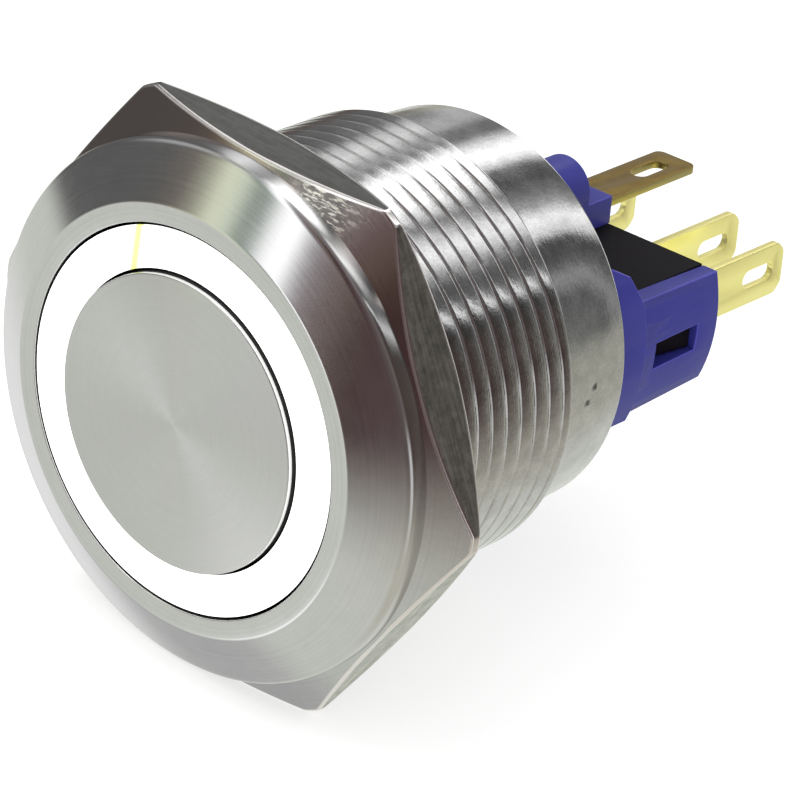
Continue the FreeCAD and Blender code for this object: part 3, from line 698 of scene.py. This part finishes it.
# %% Gilt
def gilt(name, thin_axis, dark, light, painted_edge_colour=(0.30, 0.17, 0.05, 1.0)):
    """thin_axis is the lug's thin direction, 0 for X and 2 for Z; painted_edge_colour is painted on
    edges.
    """
    finish = new_finish(name)
    place = finish.place()
    normal = finish.node("ShaderNodeNewGeometry", out="True Normal")
    facing = finish.node("ShaderNodeVectorMath", {"operation": "ABSOLUTE"}, {0: normal})
    edge = 1 - finish.rise(finish.axes(facing)[thin_axis], 0.55, 0.95)
    brush = finish.cloud(finish.stretched(place, (1.0, 7.0, 1.0)), 5.0, 3.0)
    blotch = finish.cloud(place, 0.8, 3.0)
    face = finish.mix(brush * 0.4 + blotch * 0.6, dark, light)
    # painted light: the edges get a painted colour, and a faint glow stands for light from the
    # surroundings
    return finish.surface({
        "Base Color": finish.mix(edge * 0.35, face, painted_edge_colour), "Metallic": 1.0,
        "Roughness": 0.24 + brush * 0.16, "Normal": finish.relief(brush * 0.5 + blotch, 0.006),
        "Emission Color": face, "Emission Strength": 0.22})


# gold all over: the flat lugs' dark faces are painted shade and their bright edges a painted highlight;
# the upright lugs' browner edges are painted shade
upright_gilt = gilt("gilt_upright", 0, (1.0, 0.92, 0.30, 1.0), (1.0, 0.98, 0.48, 1.0))
flat_gilt = gilt("gilt_flat", 2, (0.11, 0.06, 0.01, 1.0), (0.28, 0.20, 0.05, 1.0), (1.0, 0.98, 0.5, 1.0))


# %% Lugs
UPRIGHT_TIP = 31.35
FLAT_TIP = 30.45
CLIPPED = 0.55          # how far from the tip the clipped corners lie
ACROSS = 0.3            # an edge longer than this runs through the sheet's thickness


def is_clip_edge(tip, thin_axis):
    """Tests for the short edges across the thickness at a lug's clipped corners."""
    def test(a, b):
        across = abs(a[thin_axis] - b[thin_axis]) > ACROSS and abs(a.y - b.y) < 0.01
        return across and min(a.y, b.y) > tip - CLIPPED
    return test


for node, tip, thin_axis, finish in (
        ("lug_closed", UPRIGHT_TIP, 0, upright_gilt), ("lug_open", UPRIGHT_TIP, 0, upright_gilt),
        ("lug_common", UPRIGHT_TIP, 0, upright_gilt), ("led_lug_plus", FLAT_TIP, 2, flat_gilt),
        ("led_lug_minus", FLAT_TIP, 2, flat_gilt)):
    lug = copy_of(node, node + "_gilt", 0.05, [finish], [(is_clip_edge(tip, thin_axis), 0.2, 4)])
    settle(lug, "housing", "gilt_brass", node)

# %% [markdown]
# ## Return spring
# The spring is drawn wire in a coil round the sleeve, with its end turns laid closed. A curve with a
# bevel could make it, but a skin of small rings along the coil needs no second step. It gets shorter
# as the button goes in.

# %% Wire
def drawn_wire(name, level):
    """Bright drawn metal of this grey."""
    finish = new_finish(name)
    place = finish.place()
    mark = finish.cloud(place, 7.0, 3.0)
    return finish.surface({
        "Base Color": finish.mix(mark, grey(level * 0.8), grey(level * 1.1)), "Metallic": 1.0,
        "Roughness": 0.22 + mark * 0.15, "Normal": finish.relief(mark, 0.004)})


spring_wire = drawn_wire("spring_wire", 0.5)

# %% Height along the coil
TURNS = 5
SPRING_R = 5.59
WIRE_R = 0.25
SPRING_FRONT = -0.75
SPRING_LENGTH = 5.0     # between the middles of the first and the last wire
CLOSED_TURNS = 0.75     # at each end
CLOSED_PITCH = 0.55


def spring_height(turn):
    """Height of the wire after this many turns; the end turns lie closed."""
    if turn < CLOSED_TURNS:
        return turn * CLOSED_PITCH
    if turn > TURNS - CLOSED_TURNS:
        return SPRING_LENGTH - (TURNS - turn) * CLOSED_PITCH
    closed = CLOSED_TURNS * CLOSED_PITCH
    return closed + (turn - CLOSED_TURNS) * (SPRING_LENGTH - 2 * closed) / (TURNS - 2 * CLOSED_TURNS)


# %% Return spring
RINGS_PER_TURN = 48
WIRE_SIDES = 12
LAST_RING = TURNS * RINGS_PER_TURN
spring_rows = []
for step in range(LAST_RING + 1):
    turn = step / RINGS_PER_TURN
    a = 2 * math.pi * turn
    heart = Vector((SPRING_R * math.cos(a), SPRING_FRONT + spring_height(turn), SPRING_R * math.sin(a)))
    outward = Vector((math.cos(a), 0, math.sin(a)))
    size = WIRE_R if 0 < step < LAST_RING else 0.001    # the wire's ends are closed to a point
    spring_rows.append([(heart + (outward * math.cos(b) + Vector((0, math.sin(b), 0))) * size) * MM
                        for b in [2 * math.pi * k / WIRE_SIDES for k in range(WIRE_SIDES)]])
spring = skin("return_spring_coil", spring_rows, [spring_wire])
settle(spring, "housing", "spring_steel", "return_spring")
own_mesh(spring)

# %% [markdown]
# ## Snap spring
# A thin bowed strip spans from a groove in the plunger's foot to the blade and throws the contact over.

# %% Snap strip
strip = copy_of("snap_spring", "snap_strip", 0.02, [spring_wire])
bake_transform(strip)
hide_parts("snap_spring")

# %% [markdown]
# ## Finishes of the inner pieces
# The other CAD pieces have the right form, and the case hides them, so a copy with eased edges would
# add nothing and they only get a finish. The lamp board is lacquered green with copper under it, the
# lamps are yellow with a clear lens, and the contacts are silver.

# %% Board, lamps and contacts
def lacquered_board():
    finish = new_finish("lacquered_board")
    place = finish.place()
    x, y, z = finish.axes(place)
    track = finish.rise(finish.lines((x * x + z * z) ** 0.5, 2.5, 0.0), 0.48, 0.52)
    weave = finish.cloud(place, 4.0, 2.0)
    return finish.surface({
        "Base Color": finish.mix(track * 0.6 + weave * 0.3,
                                 (0.01, 0.10, 0.03, 1.0), (0.04, 0.24, 0.08, 1.0)),
        "Roughness": 0.25 + weave * 0.1, "Normal": finish.relief(track + weave * 0.3, 0.01)})


def lamp_lens():
    finish = new_finish("lamp_lens")
    spot = finish.cloud(finish.place(), 1.5, 2.0)
    return finish.surface({
        "Base Color": finish.mix(spot, (0.85, 0.78, 0.35, 1.0), (0.95, 0.92, 0.6, 1.0)),
        "Roughness": 0.15 + spot * 0.1,
        "Emission Color": (1.0, 0.95, 0.8, 1.0), "Emission Strength": 0.6})


# %% Each inner piece with its finish
inner = {"ring_gasket": rubber, "button_seal": rubber, "plunger": white, "guide_sleeve": white,
         "stop_clip": spring_wire, "led_board": lacquered_board(),
         "board_resistor": black, "contact_cover": black, "contact_blade": upright_gilt}
lens = lamp_lens()
silver = drawn_wire("contact_silver", 0.85)
# the wires' browner edges are painted shade, as on the lugs
copper = gilt("tinned_copper", 1, (0.60, 0.36, 0.22, 1.0), (0.80, 0.62, 0.48, 1.0))
inner.update({f"led_{number}": lens for number in (1, 2, 3, 4)})
inner.update({name: silver for name in ("tip_moving", "tip_closed", "tip_open")})
inner.update({name: copper for name in ("led_wire_plus", "led_wire_minus")})
for node, finish in inner.items():
    for held in nodes[node].material_slots:
        held.material = finish
print("CAD pieces with a finish:", len(inner))

# %% [markdown]
# ## Studio
# Polished steel has no look of its own: it shows the room. Lamps and cards set up round the part would
# each need their place and cast light on everything else. So the room is painted as a smooth function
# of direction that only reflections see: walls with bright windows, a strip lamp, and pale paper
# below. The head, the thread and the band behind it reflect different parts of the room, so each has
# its own wall, told apart by how far back the reflection points. Matt surfaces get an even soft light.

# %% Painted room
world = bpy.data.worlds.new("studio")
bpy.context.scene.world = world
room = Finish(world)
toward = room.node("ShaderNodeTexCoord", out="Generated")
east, north, high = room.axes(toward)                   # right, back and up, each from -1 to 1
BRIGHTEST = 3.0


def near(direction, core, edge):
    """1 within core degrees of a direction, 0 beyond edge degrees."""
    unit = tuple(Vector(direction).normalized())
    cosine = room.node("ShaderNodeVectorMath", {"operation": "DOT_PRODUCT"},
                       {0: toward, 1: unit}, "Value")
    return room.rise(cosine, math.cos(math.radians(edge)), math.cos(math.radians(core)))


def walls(stops):
    """Brightness round the room from the left (-1) to the right (1). A ramp's colours go up to 1, so
    they are held as shares of the brightest."""
    ramp = [((x + 1) / 2, tuple(level / BRIGHTEST for level in colour) + (1.0,)) for x, colour in stops]
    seen = room.node("ShaderNodeValToRGB", {"stops": ramp}, {0: east * 0.5 + 0.5})
    return room.node("ShaderNodeVectorMath", {"operation": "SCALE"}, {0: seen, "Scale": BRIGHTEST})


def plain(level):
    return (level, level, level)


# %% The three walls
front_wall = walls([
    (-0.80, plain(0.145)), (-0.71, (0.21, 0.18, 0.16)), (-0.64, (0.50, 0.50, 0.40)),
    (-0.58, (1.08, 1.12, 0.86)), (-0.51, (0.95, 1.02, 0.84)), (-0.45, (0.30, 0.36, 0.31)),
    (-0.39, (0.40, 0.46, 0.42)), (-0.34, plain(1.5)), (-0.24, plain(2.2)), (-0.20, plain(0.9)),
    (-0.16, (0.28, 0.25, 0.27)), (-0.08, (0.25, 0.19, 0.20)), (0.02, (0.20, 0.15, 0.12)),
    (0.08, (0.095, 0.066, 0.058)), (0.19, (0.090, 0.052, 0.054)), (0.27, (0.12, 0.073, 0.080)),
    (0.50, (0.14, 0.11, 0.11))])
thread_wall = walls([
    (-0.73, plain(0.16)), (-0.67, plain(0.26)), (-0.63, plain(0.85)), (-0.57, plain(1.25)),
    (-0.50, plain(0.66)), (-0.42, plain(0.30)), (-0.34, plain(1.8)), (-0.24, plain(2.8)),
    (-0.14, plain(2.6)), (-0.04, plain(1.6)), (0.06, plain(0.28)), (0.15, plain(1.1)),
    (0.25, plain(1.7)), (0.35, plain(0.80)), (0.42, plain(0.20)), (0.49, plain(0.13)),
    (0.535, plain(0.16)), (0.548, plain(1.6)), (0.562, plain(2.4)), (0.582, plain(0.20)),
    (0.605, plain(0.05)), (0.65, (0.06, 0.05, 0.045)), (0.70, (0.09, 0.065, 0.06))])
band_wall = walls([
    (-0.72, plain(0.24)), (-0.69, plain(0.26)), (-0.66, plain(0.62)), (-0.61, plain(0.62)),
    (-0.56, plain(0.26)), (-0.50, plain(0.28)), (-0.43, plain(1.3)), (-0.35, plain(2.2)),
    (-0.27, plain(1.5)), (-0.20, plain(0.20)), (-0.09, plain(0.13)), (0.02, plain(0.30)),
    (0.11, plain(0.60)), (0.19, plain(1.8)), (0.28, plain(1.2)), (0.33, plain(0.08)),
    (0.45, plain(0.17)), (0.51, plain(0.50)), (0.56, plain(0.12)), (0.61, plain(0.24)),
    (0.66, (0.36, 0.36, 0.33))])
print("nodes of the three walls:", len(room.tree.nodes))

# %% Walls one behind the other
on_band = room.rise(north, 0.70, 0.75)
rear_wall = room.mix(on_band, thread_wall, band_wall)
rear_foot = room.mix(on_band, (0.13, 0.10, 0.09, 1.0), (0.53, 0.53, 0.46, 1.0))
rear_wall = room.mix(room.rise(high * -1, 0.0, 0.16), rear_wall, rear_foot)
painted = room.mix(room.rise(north, 0.0, 0.3), front_wall, rear_wall)

# %% Strip lamp across the room
lamp_strip = room.rise(abs(north + 0.2), 0.34, 0.12)
on_far_right = room.rise(east, 0.4, 0.62)
shaded = room.rise(east, -0.45, -0.3) * room.rise(high, 0.5, 0.7) * 0.85
above = room.rise(high, 0.15, 0.45) * (1 - shaded)
below = 0.75 - room.rise(high, -0.05, 0.22) * 0.7
lamp = lamp_strip * (above * (1 - on_far_right) + below * on_far_right)
painted = room.mix(lamp, painted, room.mix(room.rise(east, -0.45, -0.2), grey(0.55), grey(1.1)))

# %% Paper below, with brighter and darker patches
on_right = room.rise(east, 0.1, 0.5)
reach = 0.27 + room.rise(east, -0.9, 0.2) * 0.43
paper = room.node("ShaderNodeMapRange", {"interpolation_type": "SMOOTHSTEP"},
                  {0: high * -1, 1: 0.17 - on_right * 0.09, 2: reach + on_right * 0.05, 3: 0.0, 4: 1.0})
sheet_light = room.mix(on_right, (0.80, 0.82, 0.76, 1.0), (0.69, 0.67, 0.58, 1.0))
sheet_light = room.mix(near((-0.73, 0.19, -0.66), 4, 22), sheet_light, grey(1.05))
sheet_light = room.mix(near((-0.46, -0.10, -0.88), 4, 24), sheet_light, grey(0.57))
sheet_light = room.mix(near((-0.38, -0.685, -0.75), 3, 13), sheet_light, grey(1.5))
painted = room.mix(paper, painted, sheet_light)
print("nodes of the room:", len(room.tree.nodes))

# %% Room light by kind of ray
ray = room.node("ShaderNodeLightPath", out="Is Camera Ray")
soft = room.mix(room.rise(high, -1.0, 1.0), grey(0.55), grey(1.15))
seen = room.mix(ray.part("Is Glossy Ray"), soft, painted)
seen = room.mix(ray, seen, grey(1.0))
room.feed(world.node_tree.nodes["Background"].inputs["Color"], seen)
world.cycles.sampling_method = "NONE"
print("room light set")

# %% [markdown]
# ## Floor and key light
# The switch lies on a pale sheet that runs into a white background, with only a faint shadow round it.
# A shadow catcher would need a transparent picture, so the floor glows almost as bright as the
# background and a large soft lamp above on the left adds the shadow. Neither shows in the steel.

# %% Floor and key light
FLOOR_HEIGHT = -0.01326                                 # just under the lowest flat of the hexagon
bpy.ops.mesh.primitive_grid_add(x_subdivisions=8, y_subdivisions=8, size=2.0,
                                location=(0, 0, FLOOR_HEIGHT))
floor = bpy.context.active_object
floor.name = "pale_floor"
sheet = new_finish("pale_paper")
fibre = sheet.cloud(sheet.place(), 0.02, 3.0)
floor.data.materials.append(sheet.surface({
    "Base Color": sheet.mix(fibre, grey(0.50), grey(0.53)), "Roughness": 0.9,
    "Specular IOR Level": 0.0, "Emission Color": sheet.mix(fibre, grey(0.98), grey(1.0)),
    "Emission Strength": 0.62}))
floor.visible_glossy = False

key = bpy.data.objects.new("soft_key", bpy.data.lights.new("soft_key", "AREA"))
key.data.size = 0.25
key.data.energy = 0.35
key.location = (-0.15, -0.12, 0.3)
key.rotation_euler = (Vector((0, 0.01, 0)) - key.location).to_track_quat("-Z", "Y").to_euler()
key.visible_glossy = False
bpy.context.collection.objects.link(key)
print("floor and key light placed")

# %% [markdown]
# ## Camera
# The picture was taken with a long lens from the front right, a little above. Aiming the camera at a
# point would leave its roll and its tilt to chance, so its axes were fitted to the ellipses of the rim,
# the hexagon and the barrel, and are written here as directions.

# %% Camera
back = Vector((0.534, -0.685, 0.495)).normalized()
right = Vector((0.729, 0.670, 0.140))
right = (right - back * right.dot(back)).normalized()
upward = back.cross(right)
camera = bpy.data.objects.new("camera", bpy.data.cameras.new("camera"))
camera.data.sensor_width = 36.0
camera.data.lens = 202.5
camera.data.clip_start = 0.01
axes = Matrix((right, upward, back)).transposed().to_4x4()
camera.matrix_world = Matrix.Translation((0.11597, -0.13800, 0.10343)) @ axes
bpy.context.collection.objects.link(camera)
bpy.context.scene.camera = camera
bpy.context.scene.view_settings.view_transform = "Standard"
print("lens:", camera.data.lens, "mm")

# %% [markdown]
# ## The end
# The visual model must stay inside the CAD model's box.

# %% The end
print("scene built")
